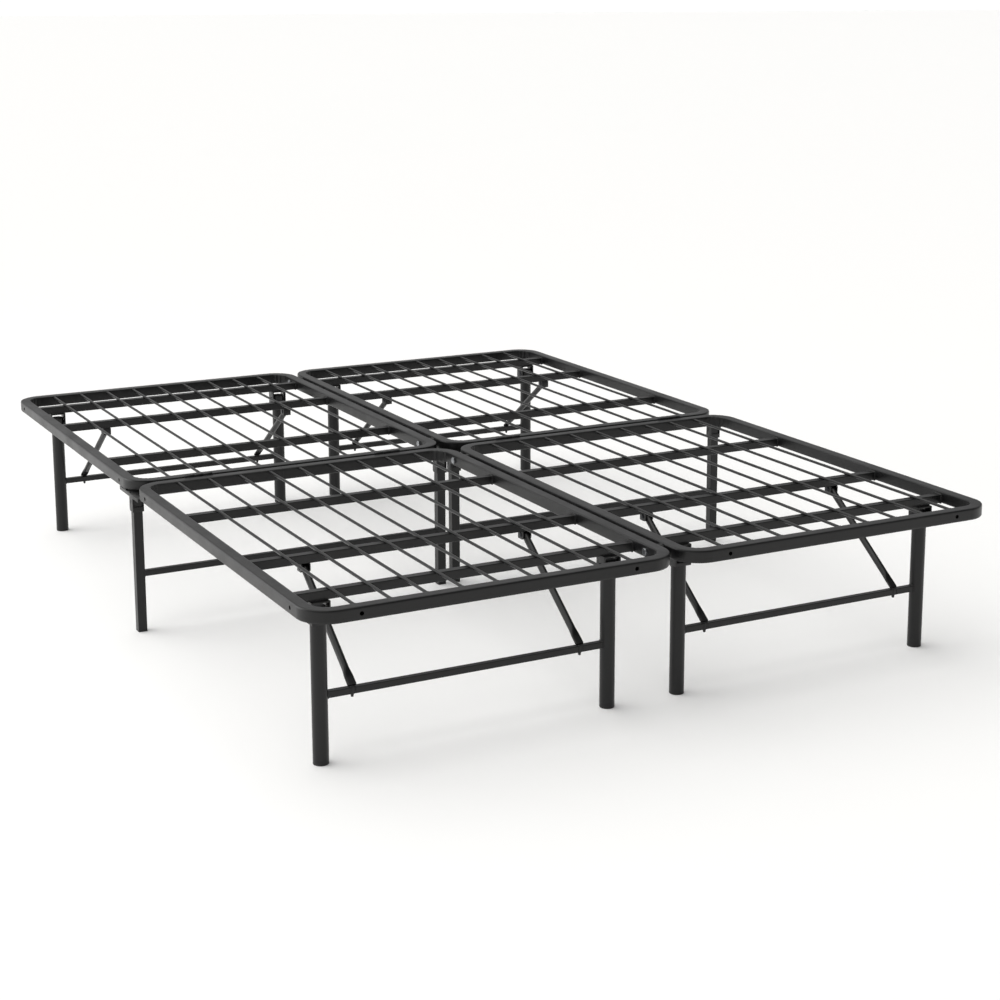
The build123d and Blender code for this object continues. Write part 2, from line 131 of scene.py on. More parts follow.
def makeMesh(name, grids, sharpAngle=creaseAngle):
    # A grid is points[rows, columns, 3] with a flag for rows that close on the first and one for columns
    points, quads, count = [], [], 0
    for grid, rowsClose, columnsClose in grids:
        index = np.arange(grid.shape[0] * grid.shape[1]).reshape(grid.shape[:2]) + count
        if rowsClose:
            index = np.vstack([index, index[:1]])
        if columnsClose:
            index = np.hstack([index, index[:, :1]])
        corners = [index[:-1, :-1], index[:-1, 1:], index[1:, 1:], index[1:, :-1]]
        quads.append(np.stack(corners, axis=-1).reshape(-1, 4))
        points.append(grid.reshape(-1, 3))
        count += grid.shape[0] * grid.shape[1]
    points, quads = np.concatenate(points), np.concatenate(quads)
    mesh = bpy.data.meshes.new(name)
    mesh.vertices.add(len(points))
    mesh.vertices.foreach_set("co", points.astype(np.float32).ravel())
    mesh.loops.add(quads.size)
    mesh.loops.foreach_set("vertex_index", quads.astype(np.int32).ravel())
    mesh.polygons.add(len(quads))
    mesh.polygons.foreach_set("loop_start", np.arange(0, quads.size, 4, dtype=np.int32))
    mesh.update(calc_edges=True)
    tidyMesh(mesh, sharpAngle)
    return mesh


def placePiece(piece, material, body, replaced=()):
    bpy.context.scene.collection.objects.link(piece)
    piece.data.materials.append(material)
    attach(piece, body)
    if replaced:
        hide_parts(*replaced)
    return piece


def addPiece(name, grids, material, body, replaced=(), sharpAngle=creaseAngle):
    piece = bpy.data.objects.new(name, makeMesh(name, grids, sharpAngle))
    return placePiece(piece, material, body, replaced)


# Shapes

def axisFrame(axis):
    # Two directions square to an axis, right-handed with it
    axis = np.array(axis, float)
    axis /= np.linalg.norm(axis)
    first = np.cross((0, 0, 1), axis) if abs(axis[2]) < 0.9 else np.array((1.0, 0, 0))
    first = first - axis * first.dot(axis)
    first /= np.linalg.norm(first)
    return axis, first, np.cross(axis, first)


def turned(centre, axis, profile, steps=32, outline=None):
    # Point = centre + height x axis + radius x (cos t, sin t); outline(t, height) can cap the radius
    axis, first, second = axisFrame(axis)
    profile = np.array(profile, float)
    t = np.arange(steps) * turn / steps
    height, radius = profile[:, 0][:, None], profile[:, 1][:, None]
    radius = np.broadcast_to(radius, (len(profile), steps))
    if outline is not None:
        radius = np.minimum(radius, outline(t[None, :], height))
    ring = np.cos(t)[None, :, None] * first + np.sin(t)[None, :, None] * second
    grid = np.array(centre) + height[:, :, None] * axis + radius[:, :, None] * ring
    return grid, False, True


def domeProfile(base, radius, rise, steps=6, up=1):
    # Quarter ellipse from the rim of a head to its pole
    t = np.linspace(0, math.pi / 2, steps)
    return [(base + up * rise * math.sin(a), max(radius * math.cos(a), 0)) for a in t[:-1]] + [
        (base + up * rise, 0)]


def roundedOutline(halfWide, halfDeep, corner, steps=5):
    # Closed outline: four quarter circles joined by straight sides
    t = np.linspace(0, math.pi / 2, steps)
    outline = []
    for quarter, (sx, sy) in enumerate(((1, 1), (-1, 1), (-1, -1), (1, -1))):
        angle = t + quarter * math.pi / 2
        outline.append(np.stack([sx * (halfWide - corner) + corner * np.cos(angle),
                                 sy * (halfDeep - corner) + corner * np.sin(angle)], axis=-1))
    return np.concatenate(outline)


def stacked(centre, profile, steps=5):
    # Upright block: a rounded outline at each height of the profile (height, half width, half depth, corner)
    rings = []
    for height, halfWide, halfDeep, corner in profile:
        outline = roundedOutline(halfWide, halfDeep, corner, steps)
        rings.append(np.stack([centre[0] + outline[:, 0], centre[1] + outline[:, 1],
                               np.full(len(outline), centre[2] + height)], axis=-1))
    return np.stack(rings), False, True


def resampled(path, spacing, closed=True):
    # The same line with points at an even spacing
    path = np.vstack([path, path[:1]]) if closed else path
    along = np.concatenate([[0], np.cumsum(np.linalg.norm(np.diff(path, axis=0), axis=1))])
    count = max(int(along[-1] / spacing), 4)
    places = np.linspace(0, along[-1], count + 1)[:-1] if closed else np.linspace(0, along[-1], count)
    return np.stack([np.interp(places, along, path[:, k]) for k in range(3)], axis=-1)


weld = {
    "spacing": 0.7 * mm,  # between sections of a bead
    "ripple": 2.6 * mm,  # length of one solidified ripple
    "rippleHeight": 0.16,  # share of the bead's radius
    "sections": 8,
}


def weldBead(path, radius, closed=True, spacing=None):
    # A round section carried along the joint; its radius swells once per ripple
    path = resampled(np.array(path, float), spacing or weld["spacing"], closed)
    ahead = np.roll(path, -1, axis=0) - np.roll(path, 1, axis=0)
    if not closed:
        ahead[0], ahead[-1] = path[1] - path[0], path[-1] - path[-2]
    ahead /= np.linalg.norm(ahead, axis=1)[:, None]
    helper = np.array((0.31, 0.42, 0.85))
    first = np.cross(ahead, helper)
    first /= np.linalg.norm(first, axis=1)[:, None]
    second = np.cross(ahead, first)
    step = np.linalg.norm(np.diff(path, axis=0), axis=1).mean()
    along = np.arange(len(path)) * step
    swell = radius * (1 + weld["rippleHeight"] * np.abs(np.sin(along * math.pi / weld["ripple"])))
    if not closed:
        swell[0] = swell[-1] = 0.0
    t = np.arange(weld["sections"]) * turn / weld["sections"]
    grid = (path[:, None, :] + swell[:, None, None] * (np.cos(t)[None, :, None] * first[:, None, :]
            + np.sin(t)[None, :, None] * second[:, None, :]))
    return grid, closed, True


# Materials

def linear(code):
    # sRGB hex to linear
    parts = [int(code[k:k + 2], 16) / 255 for k in (1, 3, 5)]
    return tuple(c / 12.92 if c <= 0.04045 else ((c + 0.055) / 1.055) ** 2.4 for c in parts) + (1.0,)


def addNode(tree, kind, inputs=None, **settings):
    node = tree.nodes.new(kind)
    for key, value in settings.items():
        setattr(node, key, value)
    for key, value in (inputs or {}).items():
        if isinstance(value, bpy.types.NodeSocket):
            tree.links.new(value, node.inputs[key])
        else:
            node.inputs[key].default_value = value
    return node


def newTree(name):
    material = bpy.data.materials.new(name)
    material.use_nodes = True
    material.node_tree.nodes.clear()
    return material, material.node_tree


def paintedSteel(name, values):
    # Thermoset powder paint: satin gloss over a faint orange peel, a little duller and dustier in patches
    material, tree = newTree(name)
    place = addNode(tree, "ShaderNodeTexCoord").outputs["Object"]
    peel = addNode(tree, "ShaderNodeTexNoise", {"Vector": place, "Scale": 1 / values["peel"],
                                                "Detail": 2.0, "Roughness": 0.45})
    cloud = addNode(tree, "ShaderNodeTexNoise", {"Vector": place, "Scale": 1 / values["cloud"],
                                                 "Detail": 4.0, "Roughness": 0.6})
    speck = addNode(tree, "ShaderNodeTexNoise", {"Vector": place, "Scale": 1 / values["speck"],
                                                 "Detail": 1.0, "Roughness": 0.5})
    dust = addNode(tree, "ShaderNodeMapRange", {"Value": speck.outputs["Fac"], "From Min": 0.66,
                                                "From Max": 0.80, "To Min": 0.0, "To Max": 0.55})
    tone = addNode(tree, "ShaderNodeMapRange", {"Value": cloud.outputs["Fac"], "From Min": 0.3,
                                                "From Max": 0.7})
    base = addNode(tree, "ShaderNodeMix", {"Factor": tone.outputs["Result"]},
                   data_type="RGBA")
    base.inputs[6].default_value = linear(values["dark"])
    base.inputs[7].default_value = linear(values["light"])
    dusted = addNode(tree, "ShaderNodeMix", {"Factor": dust.outputs["Result"]}, data_type="RGBA")
    tree.links.new(base.outputs[2], dusted.inputs[6])
    dusted.inputs[7].default_value = linear(values["dust"])
    rough = addNode(tree, "ShaderNodeMapRange", {"Value": cloud.outputs["Fac"], "From Min": 0.25,
                                                 "From Max": 0.75, "To Min": values["gloss"][0],
                                                 "To Max": values["gloss"][1]})
    bump = addNode(tree, "ShaderNodeBump", {"Height": peel.outputs["Fac"], "Strength": 1.0,
                                            "Distance": values["peelHeight"]})
    shader = addNode(tree, "ShaderNodeBsdfPrincipled", {
        "Base Color": dusted.outputs[2], "Roughness": rough.outputs["Result"],
        "Normal": bump.outputs["Normal"], "IOR": 1.43})
    addNode(tree, "ShaderNodeOutputMaterial", {"Surface": shader.outputs["BSDF"]})
    return material


def mouldedPlastic(name, values):
    # Injection-moulded polypropylene: waxy, with a fine spark-eroded grain
    material, tree = newTree(name)
    place = addNode(tree, "ShaderNodeTexCoord").outputs["Object"]
    grain = addNode(tree, "ShaderNodeTexVoronoi", {"Vector": place, "Scale": 1 / values["grain"]})
    scuff = addNode(tree, "ShaderNodeTexNoise", {"Vector": place, "Scale": 1 / values["scuff"],
                                                 "Detail": 5.0, "Roughness": 0.65})
    base = addNode(tree, "ShaderNodeMix", {"Factor": scuff.outputs["Fac"]}, data_type="RGBA")
    base.inputs[6].default_value = linear(values["dark"])
    base.inputs[7].default_value = linear(values["light"])
    rough = addNode(tree, "ShaderNodeMapRange", {"Value": scuff.outputs["Fac"], "To Min": 0.42,
                                                 "To Max": 0.62})
    bump = addNode(tree, "ShaderNodeBump", {"Height": grain.outputs["Distance"], "Strength": 0.6,
                                            "Distance": values["grainHeight"]})
    shader = addNode(tree, "ShaderNodeBsdfPrincipled", {
        "Base Color": base.outputs[2], "Roughness": rough.outputs["Result"],
        "Normal": bump.outputs["Normal"], "IOR": 1.49})
    addNode(tree, "ShaderNodeOutputMaterial", {"Surface": shader.outputs["BSDF"]})
    return material


def platedSteel(name, values):
    # Zinc plate on turned steel: metallic, softly mottled, with fine drawing lines round the part
    material, tree = newTree(name)
    place = addNode(tree, "ShaderNodeTexCoord").outputs["Object"]
    mottle = addNode(tree, "ShaderNodeTexNoise", {"Vector": place, "Scale": 1 / values["mottle"],
                                                  "Detail": 6.0, "Roughness": 0.6})
    fine = addNode(tree, "ShaderNodeTexNoise", {"Vector": place, "Scale": 1 / values["fine"],
                                                "Detail": 3.0})
    base = addNode(tree, "ShaderNodeMix", {"Factor": mottle.outputs["Fac"]}, data_type="RGBA")
    base.inputs[6].default_value = linear(values["dark"])
    base.inputs[7].default_value = linear(values["light"])
    rough = addNode(tree, "ShaderNodeMapRange", {"Value": mottle.outputs["Fac"],
                                                 "To Min": values["gloss"][0],
                                                 "To Max": values["gloss"][1]})
    bump = addNode(tree, "ShaderNodeBump", {"Height": fine.outputs["Fac"], "Strength": 0.5,
                                            "Distance": 0.02 * mm})
    shader = addNode(tree, "ShaderNodeBsdfPrincipled", {
        "Base Color": base.outputs[2], "Metallic": 1.0, "Roughness": rough.outputs["Result"],
        "Normal": bump.outputs["Normal"]})
    addNode(tree, "ShaderNodeOutputMaterial", {"Surface": shader.outputs["BSDF"]})
    return material


finishes = {
    # Orange peel is really about 1.5 mm across; it is drawn at 3 mm so that it shows
    "powderCoat": {"dark": "#0e0e0f", "light": "#131313", "dust": "#262626", "gloss": (0.27, 0.43),
                   "peel": 3.0 * mm, "peelHeight": 0.11 * mm, "cloud": 90 * mm, "speck": 2.2 * mm},
    # Thinner, glossier paint where bars and wires are dipped and drained
    "wireCoat": {"dark": "#0d0d0e", "light": "#121212", "dust": "#242424", "gloss": (0.26, 0.36),
                 "peel": 2.4 * mm, "peelHeight": 0.08 * mm, "cloud": 60 * mm, "speck": 2.0 * mm},
    "footPlastic": {"dark": "#121212", "light": "#1b1b1b", "grain": 1.2 * mm,
                    "grainHeight": 0.03 * mm, "scuff": 14 * mm},
    "blackZinc": {"dark": "#26272a", "light": "#3c3d40", "mottle": 6 * mm, "fine": 0.8 * mm,
                  "gloss": (0.34, 0.5)},
    "brightZinc": {"dark": "#83868a", "light": "#b4b6b8", "mottle": 5 * mm, "fine": 0.8 * mm,
                   "gloss": (0.26, 0.42)},
}
powderCoat = paintedSteel("powderCoatedSteelTube", finishes["powderCoat"])
wireCoat = paintedSteel("powderCoatedWire", finishes["wireCoat"])
footPlastic = mouldedPlastic("mouldedPolypropylene", finishes["footPlastic"])
blackZinc = platedSteel("blackZincRivet", finishes["blackZinc"])
brightZinc = platedSteel("zincPlatedBolt", finishes["brightZinc"])
slotFinish = {"frame_paint": powderCoat, "cap_plastic": footPlastic, "rivet_steel": blackZinc,
              "bolt_steel": brightZinc, "spacer_plastic": footPlastic}
slotOf = {part["node"]: part["material_slot"] for part in frame["record"]["subparts"]}
for nodeName, nodeObject in frame["nodes"].items():
    finish = wireCoat if nodeName.endswith("deck_wires") else slotFinish[slotOf[nodeName]]
    for materialSlot in nodeObject.material_slots:
        materialSlot.material = finish
print("materials made")


# Rims: tube with crimped bends, drilled for bolts

rim = {
    "bendRadius": 60 * mm,  # outside of the bend
    "edgeRadius": 2.6 * mm,
    "arcSteps": 40,
    "crimps": 4,  # pressed flutes inside each bend
    "crimpDepth": 1.7 * mm,
    "crimpSpread": math.radians(33),  # half the angle that the flutes cover
    "crimpStart": 0.15,  # where the pushed part of the wall begins, as a share of its half width
    "crimpRise": 1.5,
    "crimpTop": (6, 0.12),  # fading towards the top and bottom walls: power, least share
    "pinch": 0.28,  # of the depth, taken off the height
    "outlineStep": 2.2 * mm,
    "drillSides": 24,
    "skinInset": 0.02 * mm,
    "holeRadius": 4.1 * mm,
    "holeDepth": 18 * mm,
    "seamRadius": 0.9 * mm,  # butt weld that closes the loop
    "seamInset": 0.6 * mm,
    "seamAside": 40 * mm,  # from the middle of the rail; the folded deck lays the seams side by side
}


def rimGrid(node):
    # The tube's outline carried round a rounded rectangle. Inside each bend the wall is
    # pushed in by flutes: depth x (1 - cos(flute phase)) / 2, faded out towards the straights.
    low, high = (np.array(corner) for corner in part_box(node))
    rail = high[2] - low[2]
    half = rail / 2 - rim["skinInset"]
    outline = resampled(np.pad(roundedOutline(half, half, rim["edgeRadius"], 7), ((0, 0), (0, 1))),
                        rim["outlineStep"])[:, :2]
    centreRadius = rim["bendRadius"] - rail / 2
    corners = ((high[0], high[1]), (low[0], high[1]), (low[0], low[1]), (high[0], low[1]))
    bend = np.linspace(0, math.pi / 2, rim["arcSteps"])
    path, outward, flute = [], [], []
    for quarter, corner in enumerate(corners):
        angle = bend + quarter * math.pi / 2
        direction = np.stack([np.cos(angle), np.sin(angle), 0 * angle], axis=-1)
        inset = np.array((1 if corner[0] == low[0] else -1, 1 if corner[1] == low[1] else -1))
        pivot = np.append(np.array(corner) + inset * rim["bendRadius"], (low[2] + high[2]) / 2)
        path.append(pivot + centreRadius * direction)
        outward.append(direction)
        fromMiddle = bend - math.pi / 4
        fade = np.clip(1 - (fromMiddle / rim["crimpSpread"]) ** 2, 0, 1) ** 0.5
        phase = (fromMiddle / rim["crimpSpread"] + 1) / 2 * rim["crimps"] * turn
        flute.append(fade * (1 - np.cos(phase)) / 2)
    path, outward, flute = np.concatenate(path), np.concatenate(outward), np.concatenate(flute)
    across, upward = outline[:, 0], outline[:, 1]
    start, (topPower, topLeast) = rim["crimpStart"], rim["crimpTop"]
    inner = np.clip((-across / half - start) / (1 - start), 0, 1) ** rim["crimpRise"]
    middling = np.clip(1 - np.abs(upward / half) ** topPower, topLeast, 1)
    push = rim["crimpDepth"] * flute[:, None] * (inner * middling)[None, :]
    pinch = (rim["pinch"] * rim["crimpDepth"] * flute[:, None]
             * (inner * np.abs(upward / half))[None, :])
    grid = path[:, None, :] + (across[None, :] + push)[:, :, None] * outward[:, None, :]
    grid[:, :, 2] += upward[None, :] - np.sign(upward)[None, :] * pinch
    return grid, True, True


def drill(piece, spots, axis):
    # Blind holes for bolts, cut from outside. The bore of the tube isn't drawn.
    cutters = [turned(np.array(spot) - np.array(axis) * rim["holeDepth"], axis,
                      [(0, 0), (0, rim["holeRadius"]), (2 * rim["holeDepth"], rim["holeRadius"]),
                       (2 * rim["holeDepth"], 0)], rim["drillSides"]) for spot in spots]
    cutter = bpy.data.objects.new("drill", makeMesh("drill", cutters))
    bpy.context.scene.collection.objects.link(cutter)
    cut = piece.modifiers.new("holes", "BOOLEAN")
    cut.object, cut.operation, cut.solver = cutter, "DIFFERENCE", "EXACT"
    graph = bpy.context.evaluated_depsgraph_get()
    drilled = bpy.data.meshes.new_from_object(piece.evaluated_get(graph))
    piece.modifiers.clear()
    piece.data = drilled
    bpy.data.objects.remove(cutter)
    drilled.shade_smooth()
    drilled.set_sharp_from_angle(angle=math.radians(creaseAngle))


mountHoles = {mount["name"]: mount for mount in frame["record"]["mounts"]
              if mount["kind"] == "bolt_pattern"}

for row, end in rows.items():
    joints = [(low + high) / 2 for low, high in solids(f"{row}_spacers")]
    for side, hand in sides.items():
        node = f"{row}_{side}_rim"
        low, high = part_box(node)
        rail = high.z - low.z
        rimPiece = addPiece(f"{row}{side.capitalize()}RimTube", [rimGrid(node)], powderCoat,
                            f"{row}_deck", (node,))
        # Two holes for a headboard or footboard, and two in the side like the joining holes
        pattern = mountHoles[f"{row}board_holes_{side}"]
        spread = pattern["dims"]["spacing_x_mm"] * mm / 2
        endSpots = [(pattern["pos_m"][0] + way * spread, high.y if end > 0 else low.y,
                     pattern["pos_m"][2]) for way in (-1, 1)]
        sideSpots = [(high.x if hand > 0 else low.x, spot[1], spot[2]) for spot in joints]
        drill(rimPiece, endSpots, (0, 1, 0))
        drill(rimPiece, sideSpots, (1, 0, 0))
        # Butt weld that closes the loop, on the rail at the fold
        railY = (low.y if end > 0 else high.y) + end * rail / 2
        outline = roundedOutline(rail / 2 - rim["seamInset"], rail / 2 - rim["seamInset"],
                                 rim["edgeRadius"], 6)
        seamX = (low.x + high.x) / 2 + end * rim["seamAside"]
        seamPath = np.stack([np.full(len(outline), seamX), railY + outline[:, 0],
                             (low.z + high.z) / 2 + outline[:, 1]], axis=-1)
        addPiece(f"{row}{side.capitalize()}RimSeam", [weldBead(seamPath, rim["seamRadius"])],
                 powderCoat, f"{row}_deck")
print("rims made")


# Braces: tube pressed flat at its lower end, with a block for the notch in the bar and a nub under it

edgeCut = 0.3  # how far the middle point of a rounded edge stands back, as a share of its radius

brace = {
    "radius": 7 * mm,
    "tipReach": 2 * mm,  # beyond the middle of the bar
    "tipOverBar": 2.5 * mm,
    "flatLength": 16 * mm,
    "neckLength": 24 * mm,  # round tube changing to flat
    "halfWidth": 9 * mm,
    "halfThickness": 2.2 * mm,
    "groove": 0.5,  # depth of the pressed channel, as a share of the half thickness
    "grooveHalfWidth": 3.2 * mm,
    "nose": 2.5 * mm,  # length of the sheared corners
    "noseCut": 0.16,
    "squareness": 0.45,  # of the flat end's shoulders
    "tipWidth": 9 * mm,
    "tipInset": 0.9 * mm,  # middle of the block, outward of the middle of the bar
    "tipDepth": 11.2 * mm,
    "tipEdge": 0.9 * mm,
    "nubLength": 7 * mm,
    "nubTop": (3.0 * mm, 2.8 * mm),  # half width and half depth under the bar
    "nubEnd": (2.2 * mm, 2.0 * mm),
    "steps": 40,
}


def braceGrid(pivot, lower):
    # Section at distance s: (wide x cos t, thick x sin t), where wide and thick go from the tube's
    # radius to the flat's by the smooth step 3w^2 - 2w^3. The channel is a bell curve across the flat.
    axis = (lower - pivot) / np.linalg.norm(lower - pivot)
    length = np.linalg.norm(lower - pivot)
    across = np.array((1.0, 0, 0))
    upward = np.cross(across, axis)
    bendStart = length - brace["flatLength"] - brace["neckLength"]
    domeAngle = np.linspace(0, math.pi / 2, 8)
    flat = np.linspace(length - brace["flatLength"], length, 13)
    distance = np.concatenate([-brace["radius"] * np.cos(domeAngle),
                               np.linspace(0, bendStart, 5)[1:],
                               np.linspace(bendStart, flat[0], 15)[1:], flat[1:], flat[-1:]])
    dome = np.sqrt(np.clip(1 - (np.minimum(distance, 0) / brace["radius"]) ** 2, 0, 1))
    w = np.clip((distance - bendStart) / brace["neckLength"], 0, 1)
    w = 3 * w ** 2 - 2 * w ** 3
    wide = dome * (brace["radius"] * (1 - w) + brace["halfWidth"] * w)
    thick = dome * (brace["radius"] * (1 - w) + brace["halfThickness"] * w)
    # The corners of the flat end are sheared off
    nose = np.clip((distance - length) / brace["nose"] + 1, 0, 1)
    wide *= 1 - brace["noseCut"] * nose ** 2
    wide[-1] = thick[-1] = 0
    t = np.arange(brace["steps"]) * turn / brace["steps"]
    power = (1 - brace["squareness"] * w)[:, None]
    sideways = wide[:, None] * np.sign(np.cos(t)) * np.abs(np.cos(t)) ** power
    channel = brace["groove"] * w[:, None] * np.exp(-(sideways / brace["grooveHalfWidth"]) ** 2)
    height = thick[:, None] * np.sign(np.sin(t)) * np.abs(np.sin(t)) ** power
    height = np.where(height > 0, height * (1 - channel), height)
    grid = (pivot + distance[:, None, None] * axis + sideways[:, :, None] * across
            + height[:, :, None] * upward)
    return grid, False, True


def tipGrid(place, top, bottom):
    # Block and nub: rounded outlines stacked from the top of the flat end to the end of the nub
    wide, deep, edge = brace["tipWidth"] / 2, brace["tipDepth"] / 2, brace["tipEdge"]
    (nubWide, nubDeep), (endWide, endDeep) = brace["nubTop"], brace["nubEnd"]
    profile = [(top, 0, 0, 0), (top, wide - edge, deep - edge, edge),
               (top - edgeCut * edge, wide - edgeCut * edge, deep - edgeCut * edge, edge),
               (top - edge, wide, deep, edge), (bottom + edge, wide, deep, edge),
               (bottom + edgeCut * edge, wide - edgeCut * edge, deep - edgeCut * edge, edge),
               (bottom, wide - edge, deep - edge, edge), (bottom, nubWide, nubDeep, edge),
               (bottom - brace["nubLength"] + edge, endWide, endDeep, edge),
               (bottom - brace["nubLength"] + edgeCut * edge, endWide - edgeCut * edge,
                endDeep - edgeCut * edge, edge),
               (bottom - brace["nubLength"], endWide - edge, endDeep - edge, 0.5 * edge),
               (bottom - brace["nubLength"], 0, 0, 0)]
    return stacked((place[0], place[1], 0), profile)


for row, end in rows.items():
    for side in sides:
        barLow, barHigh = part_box(f"{row}_{side}_cross_bar")
        barY = (barLow.y + barHigh.y) / 2
        for place in places:
            node = f"{row}_{side}_{place}_brace"
            pivot = jointPlace[f"{node}_swing"]
            lower = np.array((pivot[0], barY + end * brace["tipReach"], barHigh.z + brace["tipOverBar"]))
            tipPlace = (pivot[0], barY + end * brace["tipInset"])
            addPiece(pieceName(node) + "Tube", [braceGrid(pivot, lower),
                                                tipGrid(tipPlace, lower[2], barLow.z)],
                     powderCoat, bodyOf(node), (node,))
print("braces made")


# Rivets, bolts, nuts and spacers

rivet = {
    "headRise": {"leg": 2.0 * mm, "brace": 2.0 * mm, "hinge": 1.5 * mm},
    "shankShare": 0.55,  # of the head's radius
    "rimShare": 0.25,  # of the head's height, under the dome
    "flushEdge": 0.25 * mm,
    # Set head: (share of the rise below its top, share of the radius), then the punched hollow
    "setHead": ((1, 0.96), (0.55, 1), (0.15, 0.86), (0, 0.72), (0, 0.3), (0.3, 0.2), (0.35, 0)),
    "pressedRing": (0.72, 0.62, 0.52),
    "steps": 36,
}


def rivetGrid(low, high, rise):
    # A domed factory head, a shank, and a set head with a small punched hollow
    middle, half = (low + high) / 2, (high[0] - low[0]) / 2
    radius = (high[1] - low[1]) / 2
    rimHeight = rise * rivet["rimShare"]
    dome = domeProfile(-half + rise - rimHeight, radius, -(rise - rimHeight), 8)[::-1]
    shank = radius * rivet["shankShare"]
    profile = dome + [(-half + rise, radius), (-half + rise, shank), (half - rise, shank)]
    profile += [(half - rise * below, radius * share) for below, share in rivet["setHead"]]
    return turned(middle, (1, 0, 0), profile, rivet["steps"])


def flushPinGrid(low, high):
    # A pin peened flush at both ends, with a ring pressed into each face
    middle, half, radius = (low + high) / 2, (high[0] - low[0]) / 2, (high[1] - low[1]) / 2
    edge = rivet["flushEdge"]
    outer, groove, inner = rivet["pressedRing"]
    endFace = [(half - edge, radius), (half, radius - edge), (half, radius * outer),
               (half - edge, radius * groove), (half, radius * inner), (half, 0)]
    profile = [(-height, reach) for height, reach in endFace[::-1]] + endFace
    return turned(middle, (1, 0, 0), profile, rivet["steps"])


for row in rows:
    for kind in ("leg", "brace"):
        node = f"{row}_{kind}_pins"
        addPiece(pieceName(node) + "Riveted", [rivetGrid(low, high, rivet["headRise"][kind])
                                               for low, high in solids(node)],
                 blackZinc, bodyOf(node), (node,))
addPiece("hingePinsRiveted", [rivetGrid(low, high, rivet["headRise"]["hinge"])
                              for low, high in solids("hinge_pins")],
         blackZinc, bodyOf("hinge_pins"), ("hinge_pins",))
addPiece("midLegPinsPeened", [flushPinGrid(low, high) for low, high in solids("mid_leg_pins")],
         blackZinc, bodyOf("mid_leg_pins"), ("mid_leg_pins",))

bolt = {
    "headHeight": 4.5 * mm,
    "shankRadius": 4 * mm,
    "pitch": 1.25 * mm,
    "threadDepth": 0.55 * mm,
    "threadLength": 14 * mm,
    "endChamfer": 0.9 * mm,
    "washerFace": 0.3 * mm,  # thin round step under the head and nut
    "chamferSlope": 1.73,  # 30 degree chamfer: radius gained for each mm of height
    "rowsPerPitch": 5,
    "faceShare": 0.95,  # round faces, as a share of the hexagon's half width
    "topShare": 0.6,  # where the head's top face is divided
    "coneHeight": 1.2 * mm,
    "coneRows": 7,
    "nutBoreEdge": 0.5 * mm,
    "spacerPlay": 0.08 * mm,
    "spacerBoreEdge": 0.4 * mm,
    "spacerGroovePlace": (0.36, 0.42),  # start of the groove and of its floor, as shares of the width
    "spacerEdge": 1.2 * mm,
    "spacerGroove": 0.5 * mm,  # depth of the shallow groove round the spacer
    "steps": 48,
}


def hexRadius(t, apothem):
    # Distance to the side of a hexagon in direction t, with corners at multiples of 60 degrees
    return apothem / np.cos((t + 1e-9) % (turn / 6) - turn / 12)


def boltGrid(low, high):
    # Hexagon head cut by a cone, plain shank, then a thread:
    # radius - depth x saw tooth(height / pitch + turn)
    apothem = (high[1] - low[1]) / 2 * math.cos(turn / 12)
    head, length = bolt["headHeight"], high[0] - low[0]
    threadStart = length - bolt["threadLength"]
    threadRows = np.arange(threadStart, length - bolt["endChamfer"],
                           bolt["pitch"] / bolt["rowsPerPitch"])

    def outline(t, height):
        cone = bolt["faceShare"] * apothem + height * bolt["chamferSlope"]
        tooth = np.abs(2 * ((height / bolt["pitch"] + t / turn) % 1) - 1)
        thread = bolt["shankRadius"] - bolt["threadDepth"] * tooth
        return np.where(height <= head, np.minimum(hexRadius(t, apothem), cone),
                        np.where(height > threadStart, thread, bolt["shankRadius"]))

    wide, shank = 2 * apothem, bolt["shankRadius"]
    face = bolt["faceShare"] * apothem
    profile = [(0, 0), (0, bolt["topShare"] * apothem), (0, wide)]
    profile += [(height, wide) for height in np.linspace(0, bolt["coneHeight"], bolt["coneRows"])[1:]]
    profile += [(head - bolt["washerFace"], wide), (head - bolt["washerFace"], face),
                (head, face), (head, shank), (threadStart, shank)]
    profile += [(height, shank) for height in threadRows[1:]]
    profile += [(length, shank - bolt["endChamfer"]), (length, 0)]
    return turned((low[0], (low[1] + high[1]) / 2, (low[2] + high[2]) / 2), (1, 0, 0), profile,
                  bolt["steps"], outline)


def nutGrid(low, high):
    # Hexagon with both faces cut by cones, round a bore
    apothem = min(high[1] - low[1], high[2] - low[2]) / 2
    height = high[0] - low[0]

    def outline(t, along):
        cone = bolt["faceShare"] * apothem + np.minimum(along, height - along) * bolt["chamferSlope"]
        return np.minimum(hexRadius(t, apothem), cone)

    ends = np.linspace(0, bolt["coneHeight"], bolt["coneRows"])
    bore, edge = bolt["shankRadius"], bolt["nutBoreEdge"]
    profile = [(along, 2 * apothem) for along in (*ends, *(height - ends[::-1]))]
    profile += [(height, bore + edge), (height - edge, bore), (edge, bore), (0, bore + edge)]
    grid, _, closed = turned((low[0], (low[1] + high[1]) / 2, (low[2] + high[2]) / 2), (1, 0, 0),
                             profile, bolt["steps"], outline)
    return grid, True, closed


